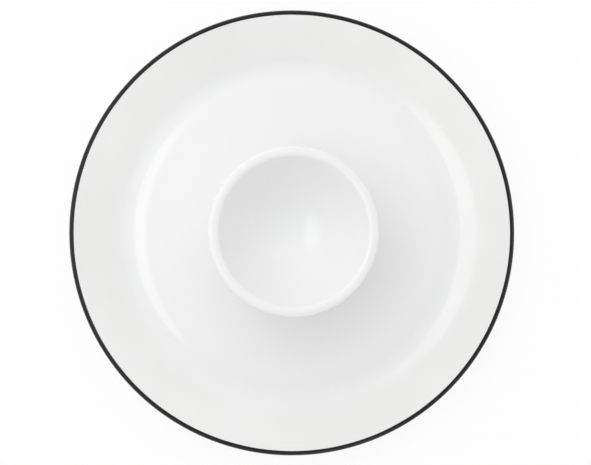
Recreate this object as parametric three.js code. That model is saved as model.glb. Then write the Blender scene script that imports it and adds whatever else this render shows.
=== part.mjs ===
// A glazed porcelain egg cup fixed to its saucer. Millimetres, +Z up.
// The origin is the middle of the saucer's standing face. Every piece is round about the Z axis,
// so each one is a section, as distance from the axis and height, turned through a full circle.
import * as THREE from "three";

// Saucer
const SAUCER_RADIUS = 65; // axis to the outermost point of the rim
const RIM_WIDTH = 10.7; // end of the shoulder to the rim's edge, seen from above
const RIM_SLOPE = 12; // degrees above level
const RIM_THICKNESS = 2.6; // of all that lies outside the floor
const SHOULDER_CURVE = 22; // radius of the rounded bend between the hollow ring and the rim
const RISE_SLOPE = 22; // steepest part of the rise from the hollow ring to the rim, degrees
const RING_CURVE = 8.8; // radius of the hollow ring's section
const FALL_SLOPE = 15; // steepest part of the fall from the floor to the hollow ring, degrees
const FLOOR_CURVE = 19; // radius of the rounded edge of the floor
const FLOOR_THICKNESS = 3.6;
const FOOT_HEIGHT = 2.6; // standing face to the underside of the floor
const FOOT_WIDTH = 2; // of the flat standing face
const FOOT_FLARE = 0.8; // extra width of the foot ring at its root, on each side
const FOOT_INSET = 5; // edge of the flat floor to the middle of the foot ring
const VENT_RADIUS = 2; // hole that lets air out of the hollow under the cup in firing

// Egg cup
const CUP_RADIUS = 24.3; // axis to the outermost point of the lip
const CUP_WALL = 3; // below the bowl
const LIP_WIDTH = 3; // of the soft rounding that ends the cup's side
const LIP_RISE = 1; // height of that rounding
const BOWL_DEPTH = 17.2; // top of the lip to the bottom of the bowl
const BOWL_EDGE_SLOPE = 67; // of the bowl where it meets the lip, degrees above level
const CUP_FOOT_RADIUS = 16; // outside of the foot, where it meets the slip
const CUP_FOOT_WALL = 3.5; // width of the foot there
const CUP_FOOT_HEIGHT = 7.5; // hollow below the middle of the bowl

// Slip that joins the cup to the saucer
const SLIP_BED = 0.4; // thickness under the cup's foot
const SLIP_BEAD = 3; // height of the smoothed bead above the cup's foot

// Fired-on line round the saucer's edge
const LINE_THICKNESS = 0.2;
const LINE_TOP_MARGIN = 0.18; // plain glaze on the rounded edge, between the line and the rim's top
const LINE_UNDER_MARGIN = 1.2; // the same, between the line and the rim's underside

// Fineness of the curves
const TURN_STEPS = 64;
const BEND_STEPS = 6;
const BOWL_STEPS = 12;
const LIP_STEPS = 8;
const CUP_SIDE_STEPS = 8;
const SAME_POINT = 1e-6;

const { degToRad, radToDeg } = THREE.MathUtils;
const point = (radius, height) => new THREE.Vector2(radius, height);

// The point at a distance from a centre, at an angle in degrees above the outward direction.
function polar(centre, distance, angle) {
  const turn = degToRad(angle);
  return point(centre.x + distance * Math.cos(turn), centre.y + distance * Math.sin(turn));
}

// Points along an arc of an ellipse, its ends included. Angles are in degrees above the outward direction.
function ellipseArc(centre, radiusOut, radiusUp, from, to, steps) {
  const ends = [degToRad(from), degToRad(to)];
  return new THREE.EllipseCurve(centre.x, centre.y, radiusOut, radiusUp, ...ends, to < from).getPoints(steps);
}

function arc(centre, radius, from, to) {
  return ellipseArc(centre, radius, radius, from, to, BEND_STEPS);
}

// One outline made of stretches that run on from each other. A point where two of them meet is kept once.
function outline(...stretches) {
  const points = stretches.flat();
  return points.filter((p, i) => i === 0 || p.distanceTo(points[i - 1]) > SAME_POINT);
}

function closed(section) {
  return [...section, section[0]];
}

function turnedPiece(name, section, material) {
  const mesh = new THREE.Mesh(new THREE.LatheGeometry(section, TURN_STEPS).rotateX(Math.PI / 2), material);
  mesh.name = name;
  return mesh;
}

// Saucer: levels and centres of its bends, from the floor's edge out over the hollow ring to the rim
const floorTop = FOOT_HEIGHT + FLOOR_THICKNESS;
const fallSine = Math.sin(degToRad(FALL_SLOPE));
const riseSine = Math.sin(degToRad(RISE_SLOPE));
const rimSine = Math.sin(degToRad(RIM_SLOPE));
const ringRun = FLOOR_CURVE * fallSine + RING_CURVE * (fallSine + riseSine) + SHOULDER_CURVE * (riseSine - rimSine);
const floorRadius = SAUCER_RADIUS - RIM_WIDTH - ringRun;
const footRadius = floorRadius - FOOT_INSET;
const floorCentre = point(floorRadius, floorTop - FLOOR_CURVE);
const ringCentre = polar(floorCentre, FLOOR_CURVE + RING_CURVE, 90 - FALL_SLOPE);
const shoulderCentre = polar(ringCentre, RING_CURVE + SHOULDER_CURVE, RISE_SLOPE - 90);

// The rim ends in a full round, centred in the rim's thickness.
const edgeRadius = RIM_THICKNESS / 2;
const rimStart = polar(shoulderCentre, SHOULDER_CURVE - edgeRadius, RIM_SLOPE + 90);
const edgeOut = SAUCER_RADIUS - edgeRadius;
const edgeCentre = point(edgeOut, rimStart.y + (edgeOut - rimStart.x) * Math.tan(degToRad(RIM_SLOPE)));
const edgeTop = RIM_SLOPE + 90;
const edgeUnder = RIM_SLOPE - 90;
const lineTop = edgeTop - radToDeg(LINE_TOP_MARGIN / edgeRadius);
const lineUnder = edgeUnder + radToDeg(LINE_UNDER_MARGIN / edgeRadius);
const lineSeat = edgeRadius - LINE_THICKNESS;

function footRing() {
  const half = FOOT_WIDTH / 2;
  return [
    point(footRadius - half - FOOT_FLARE, FOOT_HEIGHT),
    point(footRadius - half, 0),
    point(footRadius + half, 0),
    point(footRadius + half + FOOT_FLARE, floorTop - RIM_THICKNESS),
  ];
}

function makeSaucer() {
  const section = outline(
    [point(VENT_RADIUS, FOOT_HEIGHT)],
    footRing(),
    arc(floorCentre, FLOOR_CURVE - RIM_THICKNESS, 90, 90 - FALL_SLOPE),
    arc(ringCentre, RING_CURVE + RIM_THICKNESS, -90 - FALL_SLOPE, RISE_SLOPE - 90),
    arc(shoulderCentre, SHOULDER_CURVE - RIM_THICKNESS, RISE_SLOPE + 90, RIM_SLOPE + 90),
    arc(edgeCentre, edgeRadius, edgeUnder, lineUnder),
    arc(edgeCentre, lineSeat, lineUnder, lineTop),
    arc(edgeCentre, edgeRadius, lineTop, edgeTop),
    arc(shoulderCentre, SHOULDER_CURVE, RIM_SLOPE + 90, RISE_SLOPE + 90),
    arc(ringCentre, RING_CURVE, RISE_SLOPE - 90, -90 - FALL_SLOPE),
    arc(floorCentre, FLOOR_CURVE, 90 - FALL_SLOPE, 90),
    [point(VENT_RADIUS, floorTop)],
  );
  const glaze = new THREE.MeshStandardMaterial({ color: 0xf1f1ef, roughness: 0.12, metalness: 0 });
  return turnedPiece("saucer", closed(section), glaze);
}

function makeRimLine() {
  const section = outline(
    arc(edgeCentre, edgeRadius, lineUnder, lineTop),
    arc(edgeCentre, lineSeat, lineTop, lineUnder),
  );
  const enamel = new THREE.MeshStandardMaterial({ color: 0x161617, roughness: 0.2, metalness: 0 });
  return turnedPiece("rim_line", closed(section), enamel);
}

// Egg cup: levels, and the lip's rounding, which runs on inward until it is as steep as the bowl's edge
const cupBase = floorTop + SLIP_BED;
const bowlBottom = cupBase + CUP_FOOT_HEIGHT + CUP_WALL;
const lipLevel = bowlBottom + BOWL_DEPTH - LIP_RISE;
const lipHalf = LIP_WIDTH / 2;
const lipCentre = point(CUP_RADIUS - lipHalf, lipLevel);
const edgeTangent = Math.tan(degToRad(BOWL_EDGE_SLOPE));
const lipEnd = Math.PI - Math.atan(LIP_RISE / (lipHalf * edgeTangent));
const bowlEdge = point(lipCentre.x + lipHalf * Math.cos(lipEnd), lipLevel + LIP_RISE * Math.sin(lipEnd));

// The bowl is the end of an upright ellipse, like the end of an egg, with that slope at its edge.
const bowlDrop = bowlEdge.y - bowlBottom;
const edgeSine = bowlDrop / (edgeTangent * bowlEdge.x - bowlDrop);
const bowlRise = bowlDrop / (1 - edgeSine);
const bowlReach = bowlEdge.x / Math.sqrt(1 - edgeSine ** 2);
const bowlCentre = point(0, bowlBottom + bowlRise);
const hollowRadius = CUP_FOOT_RADIUS - CUP_FOOT_WALL;

// The cup's side at a height above its foot. It swells from the foot and stands upright at the lip.
function cupSide(height) {
  const shareLeft = 1 - height / (lipLevel - cupBase);
  return point(CUP_RADIUS - (CUP_RADIUS - CUP_FOOT_RADIUS) * shareLeft ** 2, cupBase + height);
}

function makeEggCup() {
  const underReach = bowlReach + CUP_WALL;
  const hollowAngle = -radToDeg(Math.acos(hollowRadius / underReach));
  const bowlAngle = -radToDeg(Math.asin(edgeSine));
  const sideStep = (lipLevel - cupBase - SLIP_BEAD) / CUP_SIDE_STEPS;
  const side = Array.from({ length: CUP_SIDE_STEPS }, (_, i) => cupSide(SLIP_BEAD + i * sideStep));
  const section = outline(
    ellipseArc(bowlCentre, underReach, bowlRise + CUP_WALL, -90, hollowAngle, BEND_STEPS),
    [point(hollowRadius, cupBase), cupSide(0)],
    side,
    ellipseArc(lipCentre, lipHalf, LIP_RISE, 0, radToDeg(lipEnd), LIP_STEPS),
    ellipseArc(bowlCentre, bowlReach, bowlRise, bowlAngle, -90, BOWL_STEPS),
  );
  const glaze = new THREE.MeshStandardMaterial({ color: 0xf1f1ef, roughness: 0.12, metalness: 0 });
  return turnedPiece("egg_cup", section, glaze);
}

// The bead leaves the floor and the cup's side smoothly: its curve is drawn towards the corner between them.
function makeLutingSlip() {
  const foot = cupSide(0);
  const beadTop = cupSide(SLIP_BEAD);
  const lean = (beadTop.x - foot.x) / SLIP_BEAD;
  const corner = point(foot.x - lean * SLIP_BED, floorTop);
  const beadEdge = point(corner.x + corner.distanceTo(beadTop), floorTop);
  const section = outline(
    [point(hollowRadius, floorTop)],
    new THREE.QuadraticBezierCurve(beadEdge, corner, beadTop).getPoints(BEND_STEPS),
    [foot, point(hollowRadius, cupBase)],
  );
  const slip = new THREE.MeshStandardMaterial({ color: 0xefefec, roughness: 0.14, metalness: 0 });
  return turnedPiece("luting_slip", closed(section), slip);
}

const eggCupWithSaucer = new THREE.Group();
eggCupWithSaucer.add(makeSaucer(), makeRimLine(), makeEggCup(), makeLutingSlip());

export default eggCupWithSaucer;
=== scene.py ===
import math

import bpy
from mathutils import Matrix, Vector


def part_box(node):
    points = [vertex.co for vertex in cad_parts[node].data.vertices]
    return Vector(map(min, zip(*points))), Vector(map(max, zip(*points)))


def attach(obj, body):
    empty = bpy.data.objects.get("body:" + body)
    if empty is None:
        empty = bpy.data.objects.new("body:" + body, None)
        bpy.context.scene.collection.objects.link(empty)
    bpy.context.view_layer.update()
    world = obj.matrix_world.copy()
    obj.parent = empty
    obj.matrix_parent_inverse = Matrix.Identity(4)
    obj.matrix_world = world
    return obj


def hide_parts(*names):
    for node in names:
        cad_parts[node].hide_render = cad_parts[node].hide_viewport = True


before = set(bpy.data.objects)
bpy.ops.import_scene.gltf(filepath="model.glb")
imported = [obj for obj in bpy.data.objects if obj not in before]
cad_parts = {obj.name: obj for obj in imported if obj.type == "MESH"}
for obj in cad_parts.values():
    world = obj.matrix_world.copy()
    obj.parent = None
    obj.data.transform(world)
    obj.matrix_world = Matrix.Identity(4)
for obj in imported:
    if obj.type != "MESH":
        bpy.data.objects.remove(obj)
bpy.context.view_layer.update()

MM = 0.001

# Places that the frame gives
slip_low, slip_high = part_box("luting_slip")
cup_low, cup_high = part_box("egg_cup")
EDGE_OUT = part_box("rim_line")[1].x
FLOOR_TOP = slip_low.z
BEAD_TOP = slip_high.z
BEAD_EDGE = slip_high.x
CUP_BASE = cup_low.z
CUP_OUT = cup_high.x
LIP_TOP = cup_high.z

# Saucer
RIM_WIDTH = 10.7 * MM  # end of the shoulder to the rim's edge, seen from above
RIM_SLOPE = math.radians(12)
RIM_THICKNESS = 2.6 * MM  # of all that lies outside the floor
SHOULDER_CURVE = 22 * MM  # radius of the bend between the hollow ring and the rim
RISE_SLOPE = math.radians(22)  # steepest part of the rise from the hollow ring to the rim
RING_CURVE = 8.8 * MM  # radius of the hollow ring's section
FALL_SLOPE = math.radians(15)  # steepest part of the fall from the floor to the hollow ring
FLOOR_CURVE = 19 * MM  # radius of the rounded edge of the floor
FLOOR_THICKNESS = 3.6 * MM
FOOT_INSET = 5 * MM  # edge of the flat floor to the middle of the foot ring
FOOT_WIDTH = 2 * MM  # of the standing face
FOOT_FLARE = 0.8 * MM  # extra width of the foot ring at its root, on each side
FOOT_ROOT_CURVE = 1.2 * MM
FOOT_EDGE_CURVE = 0.45 * MM
VENT_RADIUS = 2 * MM  # hole under the hollow of the cup
VENT_EDGE_CURVE = 0.8 * MM

# Cup
CUP_WALL = 3 * MM  # below the bowl
LIP_WIDTH = 3 * MM
LIP_RISE = 1 * MM  # height of the lip's rounding
BOWL_EDGE_SLOPE = math.radians(67)  # of the bowl where it meets the lip
CUP_FOOT_RADIUS = 16 * MM
CUP_FOOT_WALL = 3.5 * MM
CUP_FOOT_HEIGHT = 7.5 * MM  # hollow below the middle of the bowl

# Rim line: angles up the rounded edge, how far the colour stands proud, and the plain glaze beside it
LINE_TOP = math.radians(92)
LINE_UNDER = math.radians(-25)
LINE_PROUD = 0.03 * MM
LINE_SKIN = 0.1 * MM  # how far the piece reaches into the saucer's edge
LINE_MARGIN = math.radians(7)

# Fineness of the turned surfaces
TURN_STEPS = 192
CURVE_STEP = math.radians(4)
CUP_SIDE_STEPS = 40
BEAD_STEPS = 16
SMOOTH_ANGLE = math.radians(40)
WELD = 0.002 * MM
SEED = 1 * MM


# Outlines, as (distance from the axis, height)
def along(start, direction, distance):
    return (start[0] + direction[0] * distance, start[1] + direction[1] * distance)


def heading(slope):
    return (math.cos(slope), math.sin(slope))


def unit(start, end):
    run = end[0] - start[0]
    rise = end[1] - start[1]
    length = math.hypot(run, rise)
    return (run / length, rise / length)


def ellipse_arc(centre, reach, rise, start, end):
    steps = max(2, round(abs(end - start) / CURVE_STEP))
    angles = [start + (end - start) * i / steps for i in range(steps + 1)]
    return [(centre[0] + reach * math.cos(a), centre[1] + rise * math.sin(a)) for a in angles]


def corner_arc(before, corner, after, bend):
    """The arc of radius bend that rounds one corner of an outline."""
    back = unit(corner, before)
    on = unit(corner, after)
    half = math.acos(max(-1, min(1, back[0] * on[0] + back[1] * on[1]))) / 2
    middle = unit((0, 0), (back[0] + on[0], back[1] + on[1]))
    centre = along(corner, middle, bend / math.sin(half))
    begin = along(corner, back, bend / math.tan(half))
    finish = along(corner, on, bend / math.tan(half))
    first = math.atan2(begin[1] - centre[1], begin[0] - centre[0])
    last = math.atan2(finish[1] - centre[1], finish[0] - centre[0])
    turn = (last - first + math.pi) % (2 * math.pi) - math.pi
    return ellipse_arc(centre, bend, bend, first, first + turn)


def rounded_ring(corners):
    """A closed outline of corners given as (distance, height, bend), each rounded to its bend."""
    points = []
    for i, (distance, height, bend) in enumerate(corners):
        before = corners[i - 1][:2]
        after = corners[(i + 1) % len(corners)][:2]
        points += corner_arc(before, (distance, height), after, bend)
    return points + points[:1]


# Saucer: the corners of its upper face, from the floor's edge over the hollow ring to the rim
floor_reach = FLOOR_CURVE * math.tan(FALL_SLOPE / 2)
ring_reach = RING_CURVE * math.tan((FALL_SLOPE + RISE_SLOPE) / 2)
shoulder_reach = SHOULDER_CURVE * math.tan((RISE_SLOPE - RIM_SLOPE) / 2)
ring_run = FLOOR_CURVE * math.sin(FALL_SLOPE) + RING_CURVE * (math.sin(FALL_SLOPE) + math.sin(RISE_SLOPE))
ring_run += SHOULDER_CURVE * (math.sin(RISE_SLOPE) - math.sin(RIM_SLOPE))
floor_radius = EDGE_OUT - RIM_WIDTH - ring_run
foot_radius = floor_radius - FOOT_INSET
floor_corner = (floor_radius + floor_reach, FLOOR_TOP)
ring_corner = along(floor_corner, heading(-FALL_SLOPE), floor_reach + ring_reach)
shoulder_corner = along(ring_corner, heading(RISE_SLOPE), ring_reach + shoulder_reach)

# The rim's rounded edge, centred in its thickness
edge_radius = RIM_THICKNESS / 2
rim_down = heading(RIM_SLOPE - math.pi / 2)
rim_middle = along(shoulder_corner, rim_down, edge_radius)
edge_out = EDGE_OUT - LINE_PROUD - edge_radius
edge_centre = along(rim_middle, heading(RIM_SLOPE), (edge_out - rim_middle[0]) / math.cos(RIM_SLOPE))


def under_corner(corner, slope_before, slope_after):
    """The corner of the underside that lies below a corner of the upper face, one thickness away."""
    first = heading(slope_before - math.pi / 2)
    second = heading(slope_after - math.pi / 2)
    downward = (first[0] + second[0], first[1] + second[1])
    return along(corner, downward, RIM_THICKNESS / (1 + first[0] * second[0] + first[1] * second[1]))


def saucer_outline():
    under = FLOOR_TOP - FLOOR_THICKNESS
    half = FOOT_WIDTH / 2
    edge_end = along(edge_centre, heading(RIM_SLOPE), edge_radius)
    return rounded_ring([
        (VENT_RADIUS, under, VENT_EDGE_CURVE),
        (foot_radius - half - FOOT_FLARE, under, FOOT_ROOT_CURVE),
        (foot_radius - half, 0, FOOT_EDGE_CURVE),
        (foot_radius + half, 0, FOOT_EDGE_CURVE),
        (foot_radius + half + FOOT_FLARE, FLOOR_TOP - RIM_THICKNESS, FOOT_ROOT_CURVE),
        (*under_corner(floor_corner, 0, -FALL_SLOPE), FLOOR_CURVE - RIM_THICKNESS),
        (*under_corner(ring_corner, -FALL_SLOPE, RISE_SLOPE), RING_CURVE + RIM_THICKNESS),
        (*under_corner(shoulder_corner, RISE_SLOPE, RIM_SLOPE), SHOULDER_CURVE - RIM_THICKNESS),
        (*along(edge_end, rim_down, edge_radius), edge_radius),
        (*along(edge_end, rim_down, -edge_radius), edge_radius),
        (*shoulder_corner, SHOULDER_CURVE),
        (*ring_corner, RING_CURVE),
        (*floor_corner, FLOOR_CURVE),
        (VENT_RADIUS, FLOOR_TOP, VENT_EDGE_CURVE),
    ])


def rim_line_outline():
    lowest = LINE_UNDER - LINE_MARGIN
    highest = LINE_TOP + LINE_MARGIN
    outer = edge_radius + LINE_PROUD
    inner = edge_radius - LINE_SKIN
    points = ellipse_arc(edge_centre, outer, outer, lowest, highest)
    points += ellipse_arc(edge_centre, inner, inner, highest, lowest)
    return points + points[:1]


# Cup: the lip's rounding runs on inward until it is as steep as the bowl's edge
lip_half = LIP_WIDTH / 2
lip_level = LIP_TOP - LIP_RISE
lip_centre = (CUP_OUT - lip_half, lip_level)
edge_tangent = math.tan(BOWL_EDGE_SLOPE)
lip_end = math.pi - math.atan(LIP_RISE / (lip_half * edge_tangent))
bowl_edge = (lip_centre[0] + lip_half * math.cos(lip_end), lip_level + LIP_RISE * math.sin(lip_end))

# The bowl, the end of an upright ellipse with that slope at its edge
bowl_bottom = CUP_BASE + CUP_FOOT_HEIGHT + CUP_WALL
bowl_drop = bowl_edge[1] - bowl_bottom
edge_sine = bowl_drop / (edge_tangent * bowl_edge[0] - bowl_drop)
bowl_rise = bowl_drop / (1 - edge_sine)
bowl_reach = bowl_edge[0] / math.sqrt(1 - edge_sine ** 2)
bowl_centre = (0, bowl_bottom + bowl_rise)
hollow_radius = CUP_FOOT_RADIUS - CUP_FOOT_WALL


def cup_side(height):
    """A point of the cup's side, which swells from the foot and stands upright at the lip."""
    left = (lip_level - height) / (lip_level - CUP_BASE)
    return (CUP_OUT - (CUP_OUT - CUP_FOOT_RADIUS) * left ** 2, height)


def cup_outline():
    """From the axis under the bowl, over the hollow, the side and the lip, to the axis in the bowl."""
    under_reach = bowl_reach + CUP_WALL
    under_rise = bowl_rise + CUP_WALL
    hollow = -math.acos(hollow_radius / under_reach)
    side_height = lip_level - CUP_BASE
    points = ellipse_arc(bowl_centre, under_reach, under_rise, -math.pi / 2, hollow)
    points += [(hollow_radius, CUP_BASE)]
    points += [cup_side(CUP_BASE + side_height * i / CUP_SIDE_STEPS) for i in range(CUP_SIDE_STEPS)]
    points += ellipse_arc(lip_centre, lip_half, LIP_RISE, 0, lip_end)
    points += ellipse_arc(bowl_centre, bowl_reach, bowl_rise, -math.asin(edge_sine), -math.pi / 2)[1:]
    return points


def drawn_towards(start, corner, end, share):
    """A point of the curve from start to end that a corner draws towards itself."""
    weights = ((1 - share) ** 2, 2 * share * (1 - share), share ** 2)
    points = (start, corner, end)
    distance = sum(weight * point[0] for weight, point in zip(weights, points))
    height = sum(weight * point[1] for weight, point in zip(weights, points))
    return (distance, height)


def slip_outline():
    """The bed under the cup's foot and the bead round it, which runs smoothly into floor and side."""
    edge = (BEAD_EDGE, FLOOR_TOP)
    top = cup_side(BEAD_TOP)
    foot = cup_side(CUP_BASE)
    lean = (top[0] - foot[0]) / (top[1] - foot[1])
    corner = (foot[0] - lean * (CUP_BASE - FLOOR_TOP), FLOOR_TOP)
    bead = [drawn_towards(edge, corner, top, i / BEAD_STEPS) for i in range(BEAD_STEPS + 1)]
    inner_edge = (hollow_radius, FLOOR_TOP)
    return [inner_edge, *bead, foot, (hollow_radius, CUP_BASE), inner_edge]


def turned(name, outline):
    """Draws an outline point by point and spins it round the axis into a closed piece."""
    bpy.ops.object.select_all(action="DESELECT")
    bpy.ops.mesh.primitive_plane_add(size=SEED)
    piece = bpy.context.object
    piece.name = name
    bpy.ops.object.mode_set(mode="EDIT")
    bpy.ops.mesh.merge(type="CENTER")
    bpy.ops.transform.translate(value=(outline[0][0], 0, outline[0][1]))
    for start, end in zip(outline, outline[1:]):
        step = (end[0] - start[0], 0, end[1] - start[1])
        bpy.ops.mesh.extrude_vertices_move(TRANSFORM_OT_translate={"value": step})
    bpy.ops.mesh.select_all(action="SELECT")
    bpy.ops.mesh.spin(steps=TURN_STEPS, angle=2 * math.pi, center=(0, 0, 0), axis=(0, 0, 1))
    bpy.ops.mesh.select_all(action="SELECT")
    bpy.ops.mesh.remove_doubles(threshold=WELD)
    bpy.ops.mesh.normals_make_consistent(inside=False)
    bpy.ops.object.mode_set(mode="OBJECT")
    bpy.ops.object.shade_smooth_by_angle(angle=SMOOTH_ANGLE)
    return piece


# Node helpers
def add(tree, kind, feeds, **settings):
    """Makes a node with its settings, and feeds each named socket a value or another node's output."""
    made = tree.nodes.new(kind)
    for name, value in settings.items():
        setattr(made, name, value)
    for socket, value in feeds.items():
        if isinstance(value, bpy.types.NodeSocket):
            tree.links.new(value, made.inputs[socket])
        else:
            made.inputs[socket].default_value = value
    return made


def math_node(tree, operation, *values):
    return add(tree, "ShaderNodeMath", dict(enumerate(values)), operation=operation).outputs[0]


def both(tree, first, second):
    return math_node(tree, "MULTIPLY", first, second)


def either(tree, first, second):
    return math_node(tree, "MAXIMUM", first, second)


def ramp(tree, value, low, high, low_result=0, high_result=1):
    """A smooth step from one result to the other as the value goes from low to high."""
    feeds = {"Value": value, "From Min": low, "From Max": high, "To Min": low_result, "To Max": high_result}
    return add(tree, "ShaderNodeMapRange", feeds, interpolation_type="SMOOTHSTEP").outputs["Result"]


def near(tree, value, middle, reach):
    """1 at the middle value, falling to 0 at the reach on either side of it."""
    offset = math_node(tree, "ABSOLUTE", math_node(tree, "SUBTRACT", value, middle))
    return ramp(tree, offset, 0, reach, 1, 0)


def blend(tree, share, first, second):
    """Mixes two colours, which are sockets 6 and 7 of the node, by the share in its socket 0."""
    return add(tree, "ShaderNodeMix", {0: share, 6: first, 7: second}, data_type="RGBA").outputs[2]


def noise(tree, coordinates, scale, detail, roughness=0.5):
    feeds = {"Vector": coordinates, "Scale": scale, "Detail": detail, "Roughness": roughness}
    return add(tree, "ShaderNodeTexNoise", feeds).outputs["Fac"]


def object_coordinates(tree):
    return tree.nodes.new("ShaderNodeTexCoord").outputs["Object"]


def new_group(name, inputs, outputs):
    """An empty node group with named number inputs, each with its default, and named number outputs."""
    tree = bpy.data.node_groups.new(name, "ShaderNodeTree")
    for socket, default in inputs.items():
        made = tree.interface.new_socket(socket, in_out="INPUT", socket_type="NodeSocketFloat")
        made.default_value = default
    for socket in outputs:
        tree.interface.new_socket(socket, in_out="OUTPUT", socket_type="NodeSocketFloat")
    return tree


# Fired surface; scales are those of the noise, so a larger one is finer
CLOUD_SCALE = 45.0
FINE_SCALE = 1500.0
GLAZE_RIPPLE = 260.0
ENAMEL_RIPPLE = 420.0
CLOUD_DETAIL = 2.0
RIPPLE_DETAIL = 1.0
RIPPLE_ROUGHNESS = 0.4
FINE_DETAIL = 2.0
FINE_IN_RIPPLE = 0.06
RIPPLE_DEPTH = 0.012 * MM


def make_film():
    """Fired surface: slow clouds, a fine uneven shine, and the gentle ripple of a melted skin."""
    inputs = {"Cloud Scale": CLOUD_SCALE, "Ripple Scale": GLAZE_RIPPLE, "Fine Scale": FINE_SCALE}
    tree = new_group("fired_film", inputs, ("Cloud", "Shine", "Ripple"))
    given = tree.nodes.new("NodeGroupInput").outputs
    result = tree.nodes.new("NodeGroupOutput").inputs
    coordinates = object_coordinates(tree)
    cloud = noise(tree, coordinates, given["Cloud Scale"], CLOUD_DETAIL)
    ripple = noise(tree, coordinates, given["Ripple Scale"], RIPPLE_DETAIL, RIPPLE_ROUGHNESS)
    fine = noise(tree, coordinates, given["Fine Scale"], FINE_DETAIL)
    tree.links.new(cloud, result["Cloud"])
    tree.links.new(both(tree, cloud, fine), result["Shine"])
    tree.links.new(math_node(tree, "MULTIPLY_ADD", fine, FINE_IN_RIPPLE, ripple), result["Ripple"])
    return tree


def make_turning():
    """Distance from the axis, height, and angle round the axis of each point of a turned piece."""
    tree = new_group("turning", {}, ("Distance", "Height", "Angle"))
    result = tree.nodes.new("NodeGroupOutput").inputs
    coordinates = object_coordinates(tree)
    split = add(tree, "ShaderNodeSeparateXYZ", {"Vector": coordinates}).outputs
    flat = add(tree, "ShaderNodeVectorMath", {0: coordinates, 1: (1, 1, 0)}, operation="MULTIPLY")
    distance = add(tree, "ShaderNodeVectorMath", {0: flat.outputs["Vector"]}, operation="LENGTH")
    tree.links.new(distance.outputs["Value"], result["Distance"])
    tree.links.new(split["Z"], result["Height"])
    tree.links.new(math_node(tree, "ARCTAN2", split["Y"], split["X"]), result["Angle"])
    return tree


film_group = make_film()
turning_group = make_turning()


def groups_in(tree, ripple_scale):
    film = add(tree, "ShaderNodeGroup", {"Ripple Scale": ripple_scale}, node_tree=film_group)
    turning = add(tree, "ShaderNodeGroup", {}, node_tree=turning_group)
    return film.outputs, turning.outputs


def new_material(name):
    material = bpy.data.materials.new(name)
    material.use_nodes = True
    return material, material.node_tree, material.node_tree.nodes["Principled BSDF"]


def ripple_normal(tree, shader, film):
    bump = add(tree, "ShaderNodeBump", {"Height": film["Ripple"], "Distance": RIPPLE_DEPTH, "Strength": 1.0})
    tree.links.new(bump.outputs["Normal"], shader.inputs["Normal"])


# Glaze: colours, and the bare clay of the standing face
GLAZE_WHITE = (0.9, 0.9, 0.898, 1)
# painted light: this colour makes the floor lighter than the rest of the glaze
GLAZE_PAINTED_LIGHT = (0.916, 0.916, 0.914, 1)
GLAZE_POOLED = (0.894, 0.898, 0.9, 1)
# painted shade, with a faint warm tint of thin glaze: this colour makes the rim darker than the rest of the
# glaze
GLAZE_THIN_AND_SHADE = (0.857, 0.855, 0.851, 1)
BISCUIT = (0.76, 0.72, 0.66, 1)
GLAZE_IOR = 1.7

# Glaze: where each colour begins and ends
PAINTED_LIGHT_INSET = 2 * MM  # the painted light on the floor begins to fade this far inside the floor's edge
PAINTED_LIGHT_RISE = 6 * MM  # and is gone this far above the cup's foot
RING_POOL = 4.5 * MM  # half the width of the pool in the hollow ring
RING_FACE = (4 * MM, 5 * MM)  # heights that tell the ring's upper face from its underside
BEAD_POOL = 3 * MM  # half the width of the pool at the slip's bead
BEAD_POOL_INSET = 1.5 * MM  # from the bead's edge to the middle of that pool
BEAD_POOL_FADE = 2 * MM  # above the bead
FLOOR_FACE = (1 * MM, 0.2 * MM)  # depths below the floor's top that tell it from the underside
BOWL_POOL = (4 * MM, 13 * MM)  # distances between which the pool in the bowl fades
BOWL_FACE = 1 * MM  # depth below the bowl's bottom where its inside is taken to end
THIN_AND_SHADE_PAST_SHOULDER = 3 * MM  # the thin glaze's warm tint and the painted shade are fullest this far outside the shoulder

# Glaze: unevenness, roughness and wear
CLOUD_SPAN = (0.25, 0.75)
LEAST_TINT = 0.35
SHINE_SPAN = (0.1, 0.45)
GLAZE_ROUGHNESS = (0.08, 0.15)
BISCUIT_ROUGHNESS = 0.8
WIPED_HEIGHT = 0.22 * MM  # of the bare band at the standing face
WIPED_WAVER = 0.3 * MM
SPOON_WEAR = 0.04  # extra roughness in the bowl
SPOON_REACH = (9 * MM, 19 * MM)  # distances between which that wear fades


def inside_bowl(tree, height):
    return ramp(tree, height, bowl_bottom - BOWL_FACE, bowl_bottom)


def pooled_glaze(tree, distance, height):
    """Where glaze gathers: in the hollow ring, round the cup's foot and in the bottom of the bowl."""
    in_ring = both(tree, near(tree, distance, ring_corner[0], RING_POOL), ramp(tree, height, *RING_FACE))
    below_bead_top = ramp(tree, height, BEAD_TOP, BEAD_TOP + BEAD_POOL_FADE, 1, 0)
    above_underside = ramp(tree, height, FLOOR_TOP - FLOOR_FACE[0], FLOOR_TOP - FLOOR_FACE[1])
    round_foot = near(tree, distance, BEAD_EDGE - BEAD_POOL_INSET, BEAD_POOL)
    at_bead = both(tree, round_foot, both(tree, below_bead_top, above_underside))
    in_bowl = both(tree, ramp(tree, distance, *BOWL_POOL, 1, 0), inside_bowl(tree, height))
    return either(tree, in_ring, either(tree, at_bead, in_bowl))


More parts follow.
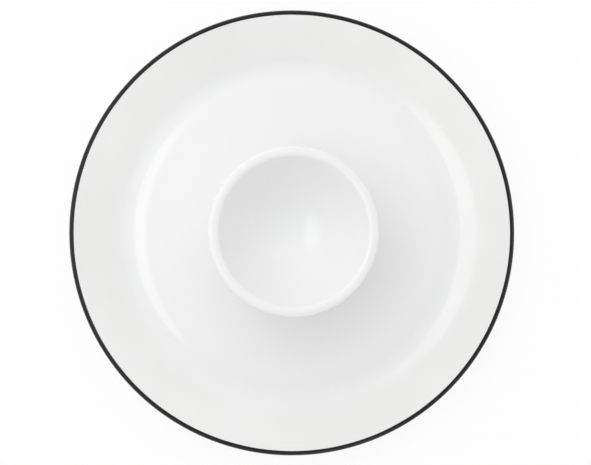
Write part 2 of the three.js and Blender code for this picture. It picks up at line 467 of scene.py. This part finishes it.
def glaze_tint(tree, film, distance, height):
    """White glaze: lighter on the floor with painted light, slightly cooler where it pools, darker on the
    rim with painted shade and warmer where it is thin.
    """
    within_floor = ramp(tree, distance, floor_radius - PAINTED_LIGHT_INSET, ring_corner[0], 1, 0)
    painted_light = both(tree, within_floor, ramp(tree, height, FLOOR_TOP, CUP_BASE + PAINTED_LIGHT_RISE, 1, 0))
    pooled = pooled_glaze(tree, distance, height)
    thin_and_shade = ramp(tree, distance, ring_corner[0], shoulder_corner[0] + THIN_AND_SHADE_PAST_SHOULDER)
    uneven = ramp(tree, film["Cloud"], *CLOUD_SPAN, LEAST_TINT, 1)
    # painted light: the floor's lighter colour is blended in here
    with_painted_light = blend(tree, painted_light, GLAZE_WHITE, GLAZE_PAINTED_LIGHT)
    tinted = blend(tree, both(tree, pooled, uneven), with_painted_light, GLAZE_POOLED)
    # painted shade on the rise and the rim, with the warm tint of thin glaze
    return blend(tree, both(tree, thin_and_shade, uneven), tinted, GLAZE_THIN_AND_SHADE)


def make_glaze():
    """One glossy white glaze for saucer, cup and slip, wiped off the face that the saucer stands on."""
    material, tree, shader = new_material("porcelain_glaze")
    film, turning = groups_in(tree, GLAZE_RIPPLE)
    distance = turning["Distance"]
    height = turning["Height"]
    tint = glaze_tint(tree, film, distance, height)
    wiped = math_node(tree, "MULTIPLY_ADD", film["Cloud"], WIPED_WAVER, WIPED_HEIGHT)
    bare = math_node(tree, "LESS_THAN", height, wiped)
    tree.links.new(blend(tree, bare, tint, BISCUIT), shader.inputs["Base Color"])
    shine = ramp(tree, film["Shine"], *SHINE_SPAN, *GLAZE_ROUGHNESS)
    spooned = both(tree, ramp(tree, distance, *SPOON_REACH, 1, 0), inside_bowl(tree, height))
    worn = math_node(tree, "MULTIPLY_ADD", spooned, SPOON_WEAR, shine)
    roughness = either(tree, worn, both(tree, bare, BISCUIT_ROUGHNESS))
    tree.links.new(roughness, shader.inputs["Roughness"])
    shader.inputs["IOR"].default_value = GLAZE_IOR
    ripple_normal(tree, shader, film)
    return material


# Enamel of the line; its edges wander and soften by these angles round the saucer's edge
ENAMEL_BLACK = (0.006, 0.006, 0.0065, 1)
ENAMEL_WORN = (0.014, 0.0135, 0.0135, 1)
ENAMEL_IOR = 1.4
ENAMEL_ROUGHNESS = (0.12, 0.26)
WANDER = 0.1
WANDER_SCALE = 9.0
WANDER_DETAIL = 3.0
TOP_SOFTNESS = 0.04
UNDER_SOFTNESS = 0.06
STREAK_SCALE = 22.0
STREAK_DETAIL = 4.0
STREAK_COLOUR_SPAN = (0.35, 0.75)
STREAK_GLOSS_SPAN = (0.3, 0.8)


def make_enamel():
    """The fired-on line: black, faintly streaked, with soft wandering edges beside the rim's glaze and its
    painted shade.
    """
    material, tree, shader = new_material("line_enamel")
    film, turning = groups_in(tree, ENAMEL_RIPPLE)
    out = math_node(tree, "SUBTRACT", turning["Distance"], edge_centre[0])
    up = math_node(tree, "SUBTRACT", turning["Height"], edge_centre[1])
    climb = math_node(tree, "ARCTAN2", up, out)
    across = math_node(tree, "SINE", turning["Angle"])
    forward = math_node(tree, "COSINE", turning["Angle"])
    run = add(tree, "ShaderNodeCombineXYZ", {"X": across, "Y": forward, "Z": climb}).outputs["Vector"]
    waver = noise(tree, run, WANDER_SCALE, WANDER_DETAIL)
    edge = math_node(tree, "ADD", climb, math_node(tree, "MULTIPLY_ADD", waver, WANDER, -WANDER / 2))
    below_top = ramp(tree, edge, LINE_TOP - TOP_SOFTNESS, LINE_TOP + TOP_SOFTNESS, 1, 0)
    above_under = ramp(tree, edge, LINE_UNDER - UNDER_SOFTNESS, LINE_UNDER + UNDER_SOFTNESS)
    painted = both(tree, below_top, above_under)
    streaks = noise(tree, run, STREAK_SCALE, STREAK_DETAIL)
    black = blend(tree, ramp(tree, streaks, *STREAK_COLOUR_SPAN), ENAMEL_BLACK, ENAMEL_WORN)
    # the glaze beside the line carries the rim's painted shade
    tree.links.new(blend(tree, painted, GLAZE_THIN_AND_SHADE, black), shader.inputs["Base Color"])
    tree.links.new(ramp(tree, streaks, *STREAK_GLOSS_SPAN, *ENAMEL_ROUGHNESS), shader.inputs["Roughness"])
    shader.inputs["IOR"].default_value = ENAMEL_IOR
    ripple_normal(tree, shader, film)
    return material


def place(piece, node, material):
    piece.data.materials.append(material)
    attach(piece, "root")
    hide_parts(node)


glaze = make_glaze()
enamel = make_enamel()
place(turned("saucer_dish", saucer_outline()), "saucer", glaze)
place(turned("egg_bowl", cup_outline()), "egg_cup", glaze)
place(turned("foot_bead", slip_outline()), "luting_slip", glaze)
place(turned("edge_line", rim_line_outline()), "rim_line", enamel)


# Stage: a floor that shows as white to the camera and to reflections, with a faint shadow
FLOOR_SIZE = 8
FLOOR_GAP = 0.05 * MM  # below the standing face
FLOOR_COLOUR = (0.95, 0.95, 0.95, 1)
FLOOR_ROUGHNESS = 0.9
FLOOR_WHITENESS = 0.88  # share of plain white where the floor is seen directly
PURE_WHITE = (1, 1, 1, 1)
WORLD_LIGHT = 0.62


def seen_directly(tree):
    rays = tree.nodes.new("ShaderNodeLightPath").outputs
    seen = either(tree, rays["Is Camera Ray"], rays["Is Glossy Ray"])
    return either(tree, seen, rays["Is Transmission Ray"])


def make_floor():
    bpy.ops.object.select_all(action="DESELECT")
    bpy.ops.mesh.primitive_plane_add(size=FLOOR_SIZE, location=(0, 0, -FLOOR_GAP))
    floor = bpy.context.object
    floor.name = "floor"
    material, tree, shader = new_material("floor_white")
    shader.inputs["Base Color"].default_value = FLOOR_COLOUR
    shader.inputs["Roughness"].default_value = FLOOR_ROUGHNESS
    glow = add(tree, "ShaderNodeEmission", {"Color": PURE_WHITE, "Strength": 1.0}).outputs["Emission"]
    share = both(tree, seen_directly(tree), FLOOR_WHITENESS)
    mixed = add(tree, "ShaderNodeMixShader", {0: share, 1: shader.outputs["BSDF"], 2: glow})
    tree.links.new(mixed.outputs["Shader"], tree.nodes["Material Output"].inputs["Surface"])
    floor.data.materials.append(material)


def make_world():
    world = bpy.data.worlds.new("studio")
    bpy.context.scene.world = world
    world.use_nodes = True
    white = world.node_tree.nodes["Background"]
    white.inputs["Color"].default_value = PURE_WHITE
    white.inputs["Strength"].default_value = WORLD_LIGHT


# Lamps: soft panels at one distance, all facing the object
LAMP_DISTANCE = 1.0


def facing(across, up, back):
    """The turn of a lamp or camera whose own sides point across, up and back."""
    return Matrix((across, up, back)).transposed().to_euler()


def make_panel(name, turn, zenith, wide, high, radiance, mirrored=True):
    """Turn is in degrees anticlockwise from the right, zenith in degrees from straight above.

    A panel that isn't mirrored lights the surface but doesn't show in its gloss.
    """
    lamp = bpy.data.lights.new(name, "AREA")
    lamp.shape = "RECTANGLE"
    lamp.size = wide
    lamp.size_y = high
    lamp.energy = math.pi * wide * high * radiance
    panel = bpy.data.objects.new(name, lamp)
    panel.visible_glossy = mirrored
    bpy.context.scene.collection.objects.link(panel)
    aside = math.radians(zenith)
    around = math.radians(turn)
    level_reach = math.sin(aside)
    towards = Vector((level_reach * math.cos(around), level_reach * math.sin(around), math.cos(aside)))
    panel.location = towards * LAMP_DISTANCE
    level = Vector((-towards.y, towards.x, 0)).normalized()
    panel.rotation_euler = facing(level, towards.cross(level), towards)


# Camera: nearly straight above, a little to the left of and in front of the axis
CAMERA_DISTANCE = 1.0
CAMERA_LEFT = 0.0185
CAMERA_FRONT = 0.014
SENSOR = 36  # millimetres

# The picture's size, and the width and middle of the saucer in it, in pixels
FRAME_WIDE = 591
FRAME_HIGH = 465
SAUCER_ACROSS = 445.2
SAUCER_MIDDLE = (292.0, 232.7)


def make_camera():
    view = bpy.data.cameras.new("camera")
    camera = bpy.data.objects.new("camera", view)
    bpy.context.scene.collection.objects.link(camera)
    bpy.context.scene.camera = camera
    target = Vector((0, 0, edge_centre[1]))
    camera.location = target + Vector((-CAMERA_LEFT, -CAMERA_FRONT, CAMERA_DISTANCE))
    back = (camera.location - target).normalized()
    right = Vector((0, 1, 0)).cross(back).normalized()
    camera.rotation_euler = facing(right, back.cross(right), back)
    distance = (target - camera.location).length
    frame_width = 2 * EDGE_OUT * FRAME_WIDE / SAUCER_ACROSS
    view.sensor_width = SENSOR
    view.lens = SENSOR * distance / frame_width
    view.shift_x = (FRAME_WIDE / 2 - SAUCER_MIDDLE[0]) / FRAME_WIDE
    view.shift_y = (SAUCER_MIDDLE[1] - FRAME_HIGH / 2) / FRAME_WIDE


make_floor()
make_world()

# Each panel has its turn, its zenith, its width and height, and its radiance
make_panel("left", 180, 34, 0.7, 0.5, 0.42)
make_panel("left_wide", 178, 31, 1.2, 0.42, 0.5)
make_panel("right_back", 35, 53, 0.5, 0.14, 0.6)
make_panel("top", 95, 37, 1.2, 0.5, 1.06, mirrored=False)
make_panel("top_left", 135, 38, 0.9, 0.5, 0.44, mirrored=False)
make_panel("back_left", 130, 68, 1.8, 0.6, 0.24)
make_panel("right_low", 0, 75, 0.5, 0.32, 0.8)
make_panel("left_low", 180, 79, 0.5, 0.34, 0.8)
make_panel("front_low", 285, 77, 0.5, 0.32, 0.8)
make_panel("front", 270, 48, 1.0, 0.6, 0.28, mirrored=False)
make_panel("overhead", 0, 1, 0.7, 0.7, 0.22, mirrored=False)

make_camera()
bpy.context.scene.view_settings.view_transform = "Standard"
